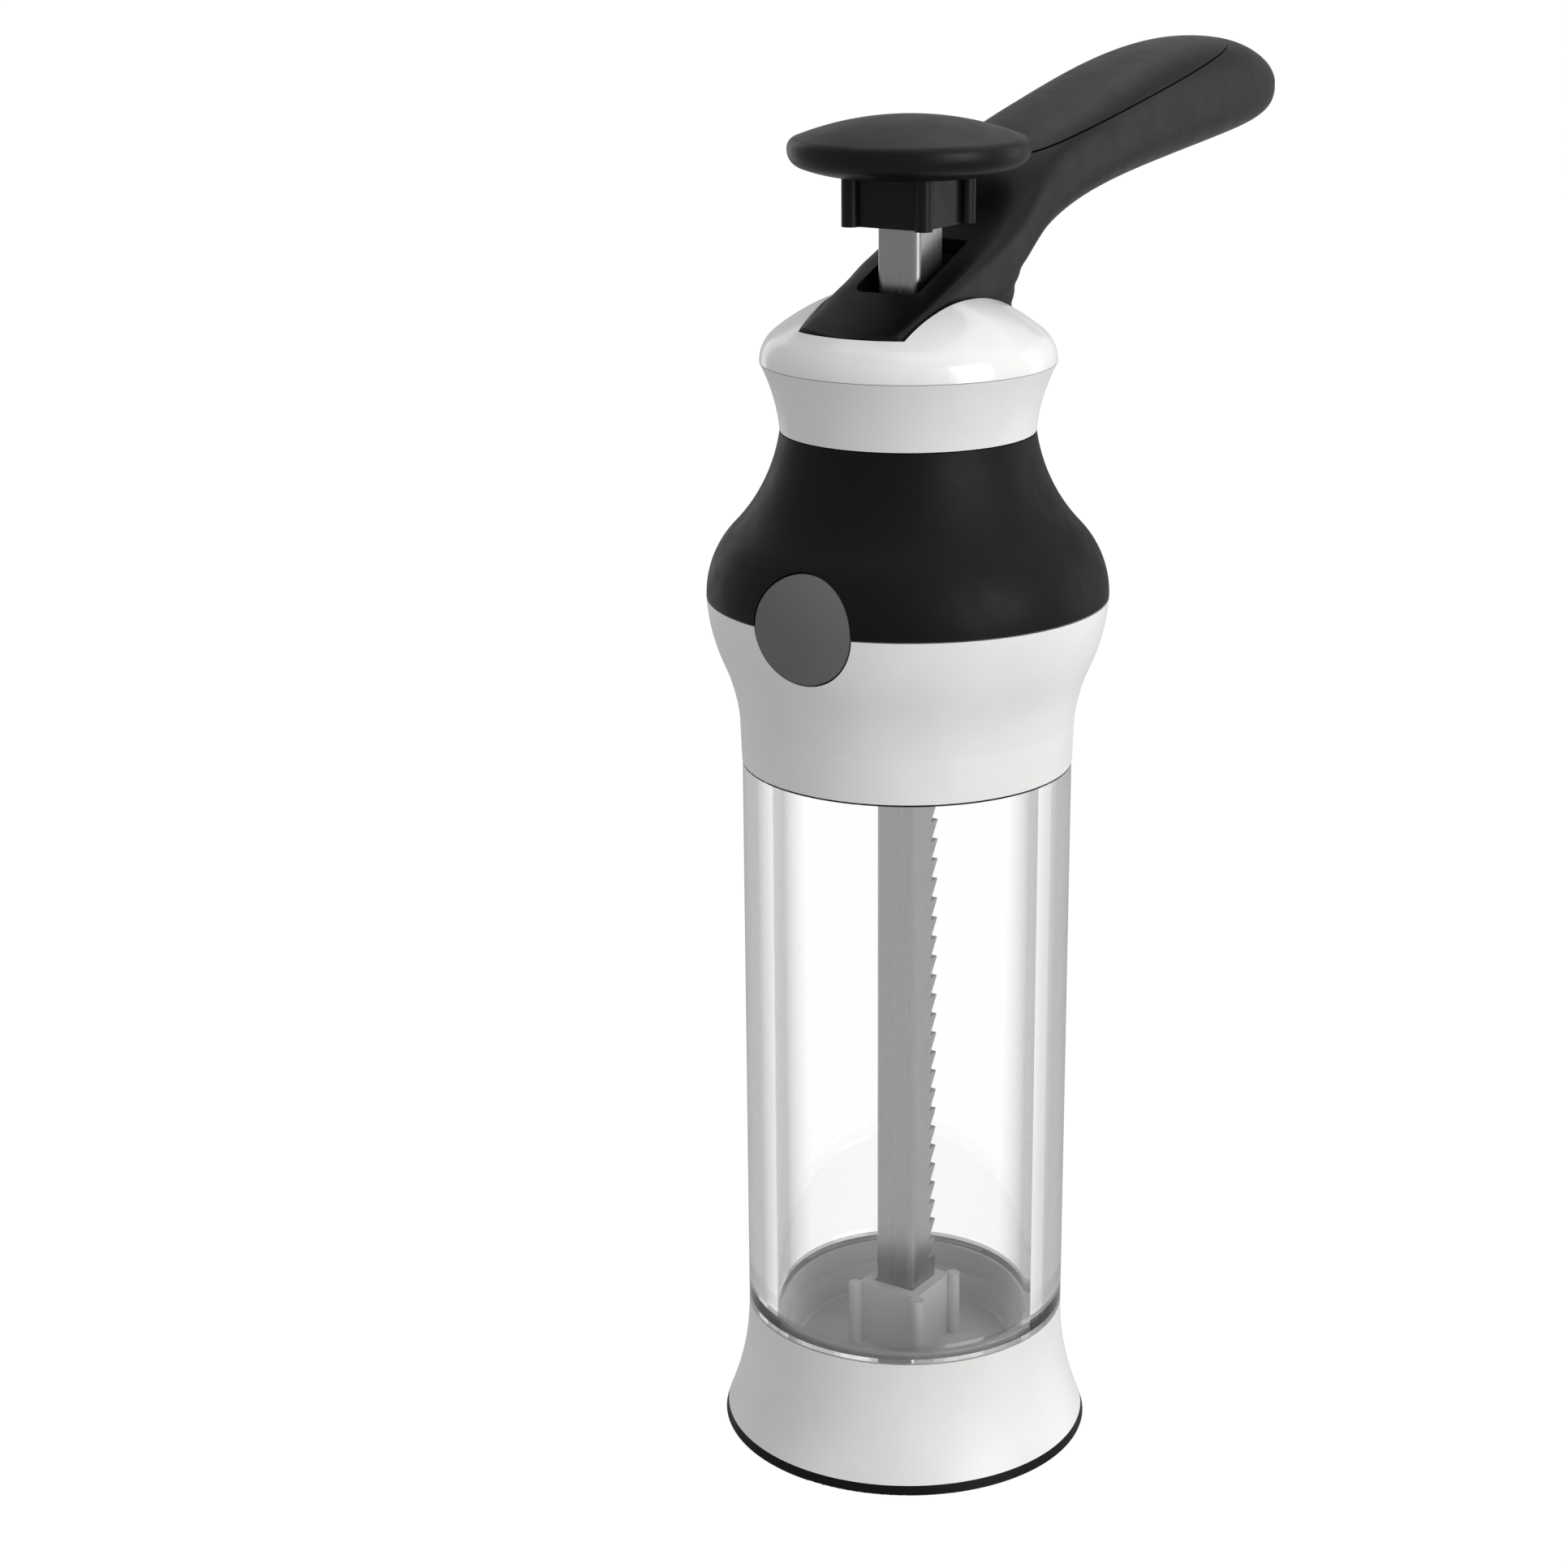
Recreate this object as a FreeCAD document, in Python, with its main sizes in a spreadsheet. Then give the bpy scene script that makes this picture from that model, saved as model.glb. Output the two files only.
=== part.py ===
import FreeCAD, Part
import math
import os
import Sketcher
from FreeCAD import Placement, Rotation, Vector

# Cookie press.  Millimetres.  The origin is on the barrel's axis at the floor, +Z is up, the
# release button faces -Y and the lever's handle points to +Y.  The plunger is drawn fully down.

doc = FreeCAD.newDocument("cookie_press")

# ---------------------------------------------------------------------------------------------
# Driving dimensions
# ---------------------------------------------------------------------------------------------
SIZES = [
    ("foot_r", 33.55, "radius of the rubber foot"),
    ("foot_top", 1.9, "height of the rubber foot"),
    ("base_top", 23.66, "seam between base and barrel"),
    ("base_flare", 57.0, "radius of the base's flared side"),
    ("barrel_r", 28.97, "outside of the clear barrel"),
    ("barrel_bore", 23.8, "inside of the clear barrel"),
    ("barrel_top", 127.9, "upper end of the barrel's full diameter"),
    ("spigot_r", 26.6, "barrel's stepped ends"),
    ("spigot_len", 11.8, "length of the upper stepped end"),
    ("socket_r", 27.8, "sockets that take the stepped ends"),
    ("lug_r", 27.5, "bayonet lugs on the barrel"),
    ("ledge_r", 26.9, "bayonet ledges in the sockets"),
    ("lug_height", 2.4, "height of a lug and of a ledge"),
    ("running_gap", 0.34, "gap between pieces that turn against each other"),
    ("disc_r", 26.5, "cookie disc"),
    ("disc_thick", 0.8, "cookie disc's sheet"),
    ("disc_seat", 12.2, "height of the ledge that carries the disc"),
    ("mouth_r", 24.6, "opening below the disc"),
    ("waist", 157.82, "seam between white housing and grip sleeve"),
    ("waist_r", 34.87, "widest radius of the body"),
    ("neck_low", 186.5, "seam between grip sleeve and neck collar"),
    ("neck_r", 21.93, "narrowest radius of the neck"),
    ("crease", 198.25, "seam between neck collar and dome"),
    ("crease_r", 25.3, "radius of the crease"),
    ("dome_top", 211.4, "top of the dome"),
    ("sleeve_wall", 2.0, "wall of the sleeve, and of the core below it"),
    ("deck", 141.4, "underside of the lower guide"),
    ("deck_thick", 3.0, "plate of the lower guide"),
    ("core_low", 154.6, "underside of the core's lower plate"),
    ("core_plate", 2.8, "thickness of the core's lower plate"),
    ("shelf", 186.0, "top of the core, under the lever bracket"),
    ("rod_x", 4.1, "half width of the rod, side to side"),
    ("rod_y", 4.0, "half depth of the rod, front to back"),
    ("rod_low", 17.0, "lower end of the rod"),
    ("rod_top", 228.5, "upper end of the rod"),
    ("rod_sheet", 1.2, "sheet of the rod"),
    ("tooth_pitch", 3.7, "pitch of the rack teeth"),
    ("tooth_depth", 2.4, "depth of the rack teeth"),
    ("tooth_first", 31.5, "height of the lowest tooth"),
    ("tooth_count", 48, "teeth along each rear edge"),
    ("plunger_r", 23.5, "plunger"),
    ("plunger_low", 13.6, "underside of the plunger"),
    ("plunger_rim", 24.0, "rim of the plunger"),
    ("hub_top", 27.45, "top of the plunger's hub"),
    ("knob_r", 20.37, "knob"),
    ("knob_low", 229.6, "underside of the knob"),
    ("knob_top", 239.1, "top of the knob"),
    ("hub_low", 221.0, "underside of the knob's hub"),
    ("pivot_y", -13.0, "lever pivot, front to back"),
    ("pivot_z", 195.0, "lever pivot, height"),
    ("pivot_pin_r", 2.0, "lever pivot pin"),
    ("pawl_y", 10.2, "pawl pin, front to back"),
    ("pawl_z", 198.6, "pawl pin, height"),
    ("pawl_pin_r", 1.5, "pawl pin"),
    ("toe_r", 20.75, "distance of the lever's toe from the axis"),
    ("slot_x", 6.2, "half width of the slot that the rod passes through"),
    ("slot_front", -8.1, "front end of that slot"),
    ("slot_rear", 9.2, "rear end of that slot"),
    ("button_r", 9.25, "release button"),
    ("button_z", 158.2, "release button, height"),
    ("yoke_low", 149.4, "underside of the release yoke"),
    ("yoke_thick", 4.0, "thickness of the release yoke"),
]

sheet = doc.addObject("Spreadsheet::Sheet", "Sizes")
for row, (alias, number, note) in enumerate(SIZES, start=1):
    sheet.set("A%d" % row, alias)
    sheet.set("B%d" % row, str(number))
    sheet.set("C%d" % row, note)
    sheet.setAlias("B%d" % row, alias)
doc.recompute()


class Size:
    """A length that knows both its number and the spreadsheet formula it comes from."""

    def __init__(self, number, formula=None):
        self.number = float(number)
        self.formula = formula or repr(float(number))

    def __add__(self, other):
        other = as_size(other)
        return Size(self.number + other.number, "(%s + %s)" % (self.formula, other.formula))

    def __sub__(self, other):
        other = as_size(other)
        return Size(self.number - other.number, "(%s - %s)" % (self.formula, other.formula))

    def __mul__(self, factor):
        return Size(self.number * factor, "(%s * %s)" % (self.formula, factor))

    def __neg__(self):
        return Size(-self.number, "(0 - %s)" % self.formula)


def as_size(length):
    return length if isinstance(length, Size) else Size(length)


S = {alias: Size(number, "Sizes." + alias) for alias, number, note in SIZES}


# ---------------------------------------------------------------------------------------------
# Small helpers for sketches and features
# ---------------------------------------------------------------------------------------------
def new_body(label):
    body = doc.addObject("PartDesign::Body", label)
    body.Label = label
    body.AllowCompound = True
    return body


def bind(feature, name, length):
    """Set a property, and bind it to the sheet where its size comes from there."""
    length = as_size(length)
    setattr(feature, name, length.number)
    if "Sizes." in length.formula:
        feature.setExpression(name, length.formula)


def sketch_on(body, plane, offset=0.0):
    """A sketch on one of the body's own planes, moved along that plane's normal."""
    sketch = body.newObject("Sketcher::SketchObject", body.Label + "_sketch")
    origin = [f for f in body.Origin.OriginFeatures if f.Role == plane + "_Plane"][0]
    sketch.AttachmentSupport = (origin, "")
    sketch.MapMode = "FlatFace"
    offset = as_size(offset)
    sketch.AttachmentOffset = Placement(Vector(0, 0, offset.number), Rotation())
    if "Sizes." in offset.formula:
        sketch.setExpression("AttachmentOffset.Base.z", offset.formula)
    return sketch


def lock(sketch, kind, geometry, length, corner=None):
    """Add a dimension to a sketch and bind it to the sheet."""
    length = as_size(length)
    if corner is None:
        constraint = Sketcher.Constraint(kind, geometry, length.number)
    elif abs(length.number) < 1e-9:
        axis = -2 if kind == "DistanceX" else -1
        sketch.addConstraint(Sketcher.Constraint("PointOnObject", geometry, corner, axis))
        return
    else:
        constraint = Sketcher.Constraint(kind, -1, 1, geometry, corner, length.number)
    index = sketch.addConstraint(constraint)
    if "Sizes." in length.formula:
        sketch.setExpression("Constraints[%d]" % index, length.formula)


def arc_between(start, end, bend):
    """Arc of radius |bend|; it turns left for a positive bend and right for a negative one."""
    radius = abs(bend)
    chord = end - start
    middle = (start + end) * 0.5
    left = Vector(-chord.y, chord.x, 0).normalize()
    height = math.sqrt(radius * radius - chord.Length * chord.Length / 4)
    centre = middle + left * math.copysign(height, bend)
    first, last = (start, end) if bend > 0 else (end, start)
    a0 = math.atan2(first.y - centre.y, first.x - centre.x)
    a1 = math.atan2(last.y - centre.y, last.x - centre.x)
    if a1 < a0:
        a1 += 2 * math.pi
    return Part.ArcOfCircle(Part.Circle(centre, Vector(0, 0, 1), radius), a0, a1)


def outline(sketch, corners):
    """Closed outline.  A corner is (x, y), or (x, y, bend) where an arc leads to the next."""
    corners = [(as_size(c[0]), as_size(c[1]), c[2] if len(c) > 2 else None) for c in corners]
    points = [Vector(x.number, y.number, 0) for x, y, bend in corners]
    pieces = []
    for k, (x, y, bend) in enumerate(corners):
        start, end = points[k], points[(k + 1) % len(points)]
        if bend is None:
            pieces.append((sketch.addGeometry(Part.LineSegment(start, end)), 1, 2))
        else:
            arc = sketch.addGeometry(arc_between(start, end, as_size(bend).number))
            pieces.append((arc, 1, 2) if as_size(bend).number > 0 else (arc, 2, 1))
    for k, (piece, head, tail) in enumerate(pieces):
        following, next_head, next_tail = pieces[(k + 1) % len(pieces)]
        sketch.addConstraint(Sketcher.Constraint("Coincident", piece, tail, following, next_head))
        x, y, bend = corners[k]
        lock(sketch, "DistanceX", piece, x, head)
        lock(sketch, "DistanceY", piece, y, head)
        if bend is None:
            continue
        if min(abs(points[k].x), abs(points[(k + 1) % len(points)].x)) < 1e-9:
            sketch.addConstraint(Sketcher.Constraint("PointOnObject", piece, 3, -2))
        else:
            bend = as_size(bend)
            lock(sketch, "Radius", piece, bend if bend.number > 0 else -bend)


def crown(half_width, rise):
    """Radius of an arc that rises to the axis from half_width away."""
    half_width, rise = as_size(half_width).number, as_size(rise).number
    return (half_width ** 2 + rise ** 2) / (2 * rise)


def on_circle(radius, degrees):
    """Places on a circle about the vertical axis, one for each angle."""
    turns = [math.radians(angle) for angle in degrees]
    return [(radius * math.cos(a), radius * math.sin(a)) for a in turns]


def rectangle(sketch, x0, x1, y0, y1):
    outline(sketch, [(x0, y0), (x1, y0), (x1, y1), (x0, y1)])


def circle(sketch, x, y, radius):
    x, y, radius = as_size(x), as_size(y), as_size(radius)
    round_ = Part.Circle(Vector(x.number, y.number, 0), Vector(0, 0, 1), radius.number)
    index = sketch.addGeometry(round_)
    lock(sketch, "DistanceX", index, x, 3)
    lock(sketch, "DistanceY", index, y, 3)
    lock(sketch, "Radius", index, radius)


def pad(sketch, length, midplane=False, backwards=False):
    body = sketch.getParentGeoFeatureGroup()
    feature = body.newObject("PartDesign::Pad", body.Label + "_pad")
    feature.Profile = sketch
    bind(feature, "Length", length)
    feature.SideType = "Symmetric" if midplane else "One side"
    feature.Reversed = backwards
    return feature


def pocket(sketch, length, midplane=False, backwards=False):
    """Cut along the sketch's own normal, or against it when backwards."""
    body = sketch.getParentGeoFeatureGroup()
    feature = body.newObject("PartDesign::Pocket", body.Label + "_pocket")
    feature.Profile = sketch
    bind(feature, "Length", length)
    feature.SideType = "Symmetric" if midplane else "One side"
    feature.Reversed = not backwards
    return feature


def revolve(sketch):
    body = sketch.getParentGeoFeatureGroup()
    feature = body.newObject("PartDesign::Revolution", body.Label + "_turned")
    feature.Profile = sketch
    feature.ReferenceAxis = (sketch, ["V_Axis"])
    feature.Angle = 360.0
    return feature


def repeat_round(feature, count):
    """Polar pattern of one feature about the vertical axis."""
    body = feature.getParentGeoFeatureGroup()
    pattern = body.newObject("PartDesign::PolarPattern", body.Label + "_pattern")
    pattern.Originals = [feature]
    axis = [f for f in body.Origin.OriginFeatures if f.Role == "Z_Axis"][0]
    pattern.Axis = (axis, [""])
    pattern.Angle = 360.0
    pattern.Occurrences = count
    body.Tip = pattern
    return pattern


def round_edges(body, radius, choose, kind="PartDesign::Fillet"):
    """Fillet or chamfer the edges of the body's tip that choose(edge) accepts."""
    doc.recompute()
    tip = body.Tip
    names = ["Edge%d" % (k + 1) for k, edge in enumerate(tip.Shape.Edges) if choose(edge)]
    feature = body.newObject(kind, body.Label + "_rounded")
    feature.Base = (tip, names)
    setattr(feature, "Radius" if kind == "PartDesign::Fillet" else "Size", radius)
    return feature


def coil(label, radius, wire_r, height, turns, place):
    """Coil spring standing on the local XY plane, then put in its place."""
    body = new_body(label)
    sketch = sketch_on(body, "XZ")
    circle(sketch, radius, wire_r, wire_r)
    spring = body.newObject("PartDesign::AdditiveHelix", label + "_helix")
    spring.Profile = sketch
    spring.ReferenceAxis = (sketch, ["V_Axis"])
    spring.Mode = "height-turns-angle"
    spring.Height = height - 2 * wire_r
    spring.Turns = turns
    body.Placement = place
    return body


def sector(sketch, r_in, r_out, middle_deg, width_deg):
    """Ring sector, used for bayonet lugs and ledges."""
    ends = (middle_deg - width_deg / 2, middle_deg + width_deg / 2)
    (c0, s0), (c1, s1) = on_circle(1.0, ends)
    outline(sketch, [
        (r_in * c0, r_in * s0),
        (r_out * c0, r_out * s0, r_out),
        (r_out * c1, r_out * s1),
        (r_in * c1, r_in * s1, -r_in),
    ])


# ---------------------------------------------------------------------------------------------
# Base: what the press stands on, and what carries the cookie disc
# ---------------------------------------------------------------------------------------------
BAYONETS = 3
LUG_DEG = 24.0
GAP_DEG = 30.0
TWIST_DEG = 38.0
LUG_REST_DEG = 30.0
GAP_REST_DEG = LUG_REST_DEG + TWIST_DEG
LUG_DROP = 6.0          # from the base's top edge down to the underside of its lugs
UPPER_LUG = 5.1         # from the barrel's shoulder up to the underside of the upper lugs
BUTTON_GAP = 0.3


def bayonet_ledge(body, low):
    """Three inward ledges, with gaps between them that let the barrel's lugs in."""
    sketch = sketch_on(body, "XY", low)
    ledge_deg = 360.0 / BAYONETS - GAP_DEG
    sector(sketch, S["ledge_r"], S["socket_r"] + 0.3, GAP_REST_DEG + 60.0, ledge_deg)
    repeat_round(pad(sketch, S["lug_height"]), BAYONETS)


def bayonet_stop(body, low):
    """A rib at the locked end of each ledge, which stops the barrel's lug."""
    sketch = sketch_on(body, "XY", low)
    middle = LUG_REST_DEG - LUG_DEG / 2 - 3.5
    sector(sketch, S["ledge_r"] + 0.3, S["socket_r"] + 0.3, middle, 3.0)
    repeat_round(pad(sketch, S["lug_height"]), BAYONETS)


def make_base_ring():
    body = new_body("base_ring")
    sketch = sketch_on(body, "XZ")
    outline(sketch, [
        (S["foot_r"] - 3.6, S["foot_top"]),
        (33.1, S["foot_top"], -S["base_flare"]),
        (S["barrel_r"], S["base_top"]),
        (S["socket_r"], S["base_top"]),
        (S["socket_r"], S["disc_seat"]),
        (S["mouth_r"], S["disc_seat"]),
        (S["mouth_r"], S["disc_seat"] - 1.6),
    ])
    revolve(sketch)
    bayonet_ledge(body, S["base_top"] - 3.2)
    bayonet_stop(body, S["base_top"] - LUG_DROP)
    return body


def make_foot_ring():
    body = new_body("foot_ring")
    sketch = sketch_on(body, "XZ")
    outline(sketch, [
        (S["foot_r"] - 3.6, 0),
        (S["foot_r"] - 0.4, 0, Size(0.45)),
        (S["foot_r"], 0.4),
        (33.1, S["foot_top"]),
        (S["foot_r"] - 3.6, S["foot_top"]),
    ])
    revolve(sketch)
    return body


def make_cookie_disc():
    body = new_body("cookie_disc")
    sketch = sketch_on(body, "XY", S["disc_seat"])
    circle(sketch, 0, 0, S["disc_r"])
    circle(sketch, 0, 0, 3.6)
    pad(sketch, S["disc_thick"])
    slot = sketch_on(body, "XY", S["disc_seat"])
    half, end_r = 1.25, 1.27
    outline(slot, [(half, 6.6), (half, 18.4, end_r), (-half, 18.4), (-half, 6.6, end_r)])
    repeat_round(pocket(slot, S["disc_thick"]), 8)
    return body


# ---------------------------------------------------------------------------------------------
# Barrel
# ---------------------------------------------------------------------------------------------
def make_barrel():
    body = new_body("barrel")
    sketch = sketch_on(body, "XZ")
    low = S["base_top"] + S["running_gap"]
    outline(sketch, [
        (S["barrel_bore"], 14.35),
        (S["spigot_r"], 14.35),
        (S["spigot_r"], low),
        (S["barrel_r"], low),
        (S["barrel_r"], S["barrel_top"]),
        (S["spigot_r"], S["barrel_top"]),
        (S["spigot_r"], S["barrel_top"] + S["spigot_len"]),
        (S["barrel_bore"], S["barrel_top"] + S["spigot_len"]),
    ])
    revolve(sketch)
    for low in (S["base_top"] - LUG_DROP, S["barrel_top"] + UPPER_LUG):
        lug = sketch_on(body, "XY", low)
        sector(lug, S["spigot_r"] - 0.3, S["lug_r"], LUG_REST_DEG, LUG_DEG)
        repeat_round(pad(lug, S["lug_height"]), BAYONETS)
    return body


def make_barrel_gasket():
    body = new_body("barrel_gasket")
    sketch = sketch_on(body, "XZ")
    rectangle(sketch, 24.1, 26.4, 13.35, 14.35)
    revolve(sketch)
    return body


# ---------------------------------------------------------------------------------------------
# Head: the covers, from the barrel's socket up to the dome
# ---------------------------------------------------------------------------------------------
HOUSING_SCREWS = on_circle(21.0, (30, 150, 225, 315))
BRACKET_SCREWS = ((15.0, 3.0), (-15.0, 3.0), (0.0, -15.4))
BRACKET_SHANK_R = 1.3


def button_hole(body):
    """Round hole through the front wall, where the release button slides."""
    sketch = sketch_on(body, "XZ", 24)
    circle(sketch, 0, S["button_z"], S["button_r"] + BUTTON_GAP)
    pocket(sketch, 14)


def make_lower_housing():
    body = new_body("lower_housing")
    sketch = sketch_on(body, "XZ")
    low = S["barrel_top"] + S["running_gap"]
    outline(sketch, [
        (S["socket_r"], low),
        (S["barrel_r"] + 0.08, low),
        (29.35, 136.2, Size(-34)),
        (32.2, 146.4, Size(33)),
        (S["waist_r"], S["waist"] - 0.15),
        (S["waist_r"] - 2.2, S["waist"] - 0.15),
        (30.6, 148.5),
        (S["socket_r"], S["deck"] - 1.0),
    ])
    revolve(sketch)
    bayonet_ledge(body, S["barrel_top"] + 2.3)
    bayonet_stop(body, S["barrel_top"] + UPPER_LUG)
    button_hole(body)
    return body


def sleeve_side(inset):
    """Right side of the grip sleeve, from the waist up to the neck, moved in by inset."""
    return [
        (S["waist_r"] - inset, S["waist"] + 0.15, Size(16.8 - inset)),
        (30.6 - inset, 169.2, Size(-31.0 - inset)),
        (S["neck_r"] + 0.02 - inset, S["neck_low"] - 0.1),
    ]


def shell_outline(outer, inner):
    """Outer side from bottom to top, then the inner side back down."""
    back = []
    for k in range(len(inner) - 1, -1, -1):
        bend = inner[k - 1][2] if k > 0 and len(inner[k - 1]) > 2 else None
        corner = inner[k][:2]
        back.append(corner if bend is None else corner + (-bend,))
    return list(outer) + back


def make_grip_sleeve():
    body = new_body("grip_sleeve")
    sketch = sketch_on(body, "XZ")
    outline(sketch, shell_outline(sleeve_side(0.0), sleeve_side(S["sleeve_wall"].number)))
    revolve(sketch)
    button_hole(body)
    return body


def make_body_core():
    """Stiff core under the sleeve: lower plate, wall and the shelf that holds the bracket."""
    body = new_body("body_core")
    sketch = sketch_on(body, "XZ")
    outside = S["sleeve_wall"] + 0.1
    low, high = S["core_low"], S["core_low"] + S["core_plate"]
    neck = S["neck_r"] + 0.02 - outside
    neck_bore = neck - S["sleeve_wall"]
    belly_bore = S["waist_r"] - outside - S["sleeve_wall"]
    outline(sketch, [(31.2, low), (31.2, high)] + sleeve_side(outside.number) + [
        (neck, S["shelf"] + 4.0),
        (neck_bore, S["shelf"] + 4.0),
        (neck_bore, S["shelf"]),
        (9.3, S["shelf"]),
        (9.3, S["shelf"] - 2.0),
        (neck_bore, S["shelf"] - 2.0, 35.1),
        (26.5, 169.2, -12.7),
        (belly_bore, S["waist"] + 0.15),
        (belly_bore, high),
        (16.0, high),
        (16.0, low),
    ])
    revolve(sketch)
    guide_top = S["deck"] + S["deck_thick"]
    bosses = sketch_on(body, "XY", guide_top)
    for x, y in HOUSING_SCREWS:
        circle(bosses, x, y, 3.2)
        circle(bosses, x, y, 1.4)
    pad(bosses, low - guide_top + 0.4)
    front = sketch_on(body, "XY", 150)
    rectangle(front, -10.8, 10.8, -36, -9.5)
    pocket(front, 7.6)
    notches = sketch_on(body, "XY", S["shelf"])
    for x0, x1 in ((9.8, 13.2), (-13.2, -9.8)):
        rectangle(notches, x0, x1, -18.2, -8.4)
    pocket(notches, 4.0)
    pilots = sketch_on(body, "XY", S["shelf"] - 2.0)
    for x, y in BRACKET_SCREWS:
        circle(pilots, x, y, BRACKET_SHANK_R)
    pocket(pilots, 2.0)
    button_hole(body)
    return body


def make_neck_collar():
    body = new_body("neck_collar")
    sketch = sketch_on(body, "XZ")

    def side(inset):
        return [
            (S["neck_r"] - inset, S["neck_low"] + 0.1, Size(-33.0 - inset)),
            (S["crease_r"] - inset, S["crease"]),
        ]

    outline(sketch, shell_outline(side(0.0), side(1.9)))
    revolve(sketch)
    return body


def make_dome_cap():
    """Glossy dome, open at the back and on top where the lever's root swings down."""
    body = new_body("dome_cap")
    sketch = sketch_on(body, "XZ")
    outline(sketch, [
        (S["crease_r"], S["crease"] + 0.1, Size(6.2)),
        (22.8, 203.42, crown(22.8, S["dome_top"] - 203.42)),
        (0, S["dome_top"]),
        (0, S["dome_top"] - 1.7, -crown(21.6, S["dome_top"] - 1.7 - 202.45)),
        (21.6, 202.45, Size(-4.6)),
        (S["crease_r"] - 1.8, S["crease"] + 0.1),
    ])
    revolve(sketch)
    opening = sketch_on(body, "XY", 200.6)
    outline(opening, [
        (-10.3, -18.35, 21.05),
        (10.3, -18.35),
        (11.2, -10.0),
        (12.0, 0.0),
        (12.4, 12.0),
        (12.4, 30.0),
        (-12.4, 30.0),
        (-12.4, 12.0),
        (-12.0, 0.0),
        (-11.2, -10.0),
    ])
    pocket(opening, 14)
    return body


# ---------------------------------------------------------------------------------------------
# Head: guides, bracket and fasteners
# ---------------------------------------------------------------------------------------------
def rod_hole(sketch, gap):
    rectangle(sketch, -S["rod_x"] - gap, S["rod_x"] + gap, -S["rod_y"] - gap, S["rod_y"] + gap)


def make_lower_guide():
    """Plate above the barrel that guides the rod, with the rails and spring cup on it."""
    body = new_body("lower_guide")
    plate = sketch_on(body, "XY", S["deck"])
    circle(plate, 0, 0, 27.9)
    rod_hole(plate, 0.45)
    for x, y in HOUSING_SCREWS:
        circle(plate, x, y, 1.6)
    pad(plate, S["deck_thick"])
    rails = sketch_on(body, "XY", S["deck"] + S["deck_thick"])
    for side in (-1, 1):
        x0, x1 = sorted((side * 6.2, side * 8.2))
        rectangle(rails, x0, x1, -9.5, 13.0)
    pad(rails, S["yoke_low"] - S["deck"] - S["deck_thick"] - 0.3)
    cup = sketch_on(body, "XY", S["deck"] + S["deck_thick"])
    rectangle(cup, -6.2, 6.2, -22.0, -14.0)
    pad(cup, 13.0)
    bore = sketch_on(body, "XZ", 15.6)
    circle(bore, 0, S["yoke_low"] + S["yoke_thick"] * 0.5, 4.5)
    pocket(bore, 7)
    way = sketch_on(body, "XZ", 13)
    low = S["yoke_low"]
    rectangle(way, -2.9, 2.9, low - 0.35, low + S["yoke_thick"] + 0.35)
    pocket(way, 4)
    return body


def make_upper_guide():
    """Nylon bush below the bracket that keeps the rod upright."""
    body = new_body("upper_guide")
    tube = sketch_on(body, "XY", S["shelf"] - 10.0)
    rectangle(tube, -6.3, 6.3, -6.3, 6.3)
    rod_hole(tube, 0.4)
    pad(tube, 8.0)
    flange = sketch_on(body, "XY", S["shelf"] - 2.0)
    circle(flange, 0, 0, 9.2)
    rod_hole(flange, 0.4)
    pad(flange, 2.0)
    return body


def make_lever_bracket():
    """Steel fork: a base plate on the shelf and two ears for the lever's pivot pin."""
    body = new_body("lever_bracket")
    plate = sketch_on(body, "XY", S["shelf"])
    circle(plate, 0, 0, 17.6)
    rod_hole(plate, 1.0)
    pad(plate, 2.0)
    ears = sketch_on(body, "YZ")
    y, z = S["pivot_y"], S["pivot_z"]
    outline(ears, [(y - 2.4, S["shelf"] + 1.0), (y + 4.2, S["shelf"] + 1.0),
                   (y + 4.2, z, 4.21), (y - 4.2, z)])
    pad(ears, 2 * 12.4, midplane=True)
    between = sketch_on(body, "YZ")
    rectangle(between, y - 5.0, y + 5.0, S["shelf"] + 2.0, z + 6.0)
    pocket(between, 2 * 10.6, midplane=True)
    holes = sketch_on(body, "XY", S["shelf"])
    for x, y in BRACKET_SCREWS:
        circle(holes, x, y, BRACKET_SHANK_R)
    pocket(holes, 2.0)
    pin_hole = sketch_on(body, "YZ")
    circle(pin_hole, S["pivot_y"], S["pivot_z"], S["pivot_pin_r"])
    pocket(pin_hole, 40, midplane=True)
    return body


def make_screws(label, places, head_low, head_high, shank_end, head_r, shank_r):
    """Group of screws that share one node: heads and shanks, with a hexagon socket."""
    body = new_body(label)
    up = shank_end > head_high
    heads = sketch_on(body, "XY", head_low)
    shanks = sketch_on(body, "XY", head_high if up else shank_end)
    sockets = sketch_on(body, "XY", head_low if up else head_high)
    for x, y in places:
        circle(heads, x, y, head_r)
        circle(shanks, x, y, shank_r)
        key = head_r * 0.5
        turns = [math.radians(60 * k) for k in range(6)]
        outline(sockets, [(x + key * math.cos(a), y + key * math.sin(a)) for a in turns])
    pad(heads, head_high - head_low)
    pad(shanks, abs(shank_end - (head_high if up else head_low)))
    pocket(sockets, (head_high - head_low) * 0.6, backwards=not up)
    return body


def make_pivot_pin():
    body = new_body("pivot_pin")
    sketch = sketch_on(body, "YZ")
    circle(sketch, S["pivot_y"], S["pivot_z"], S["pivot_pin_r"])
    pad(sketch, 27.8, midplane=True)
    round_edges(body, 0.4, lambda edge: abs(edge.CenterOfMass.x) > 10, "PartDesign::Chamfer")
    return body


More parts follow.
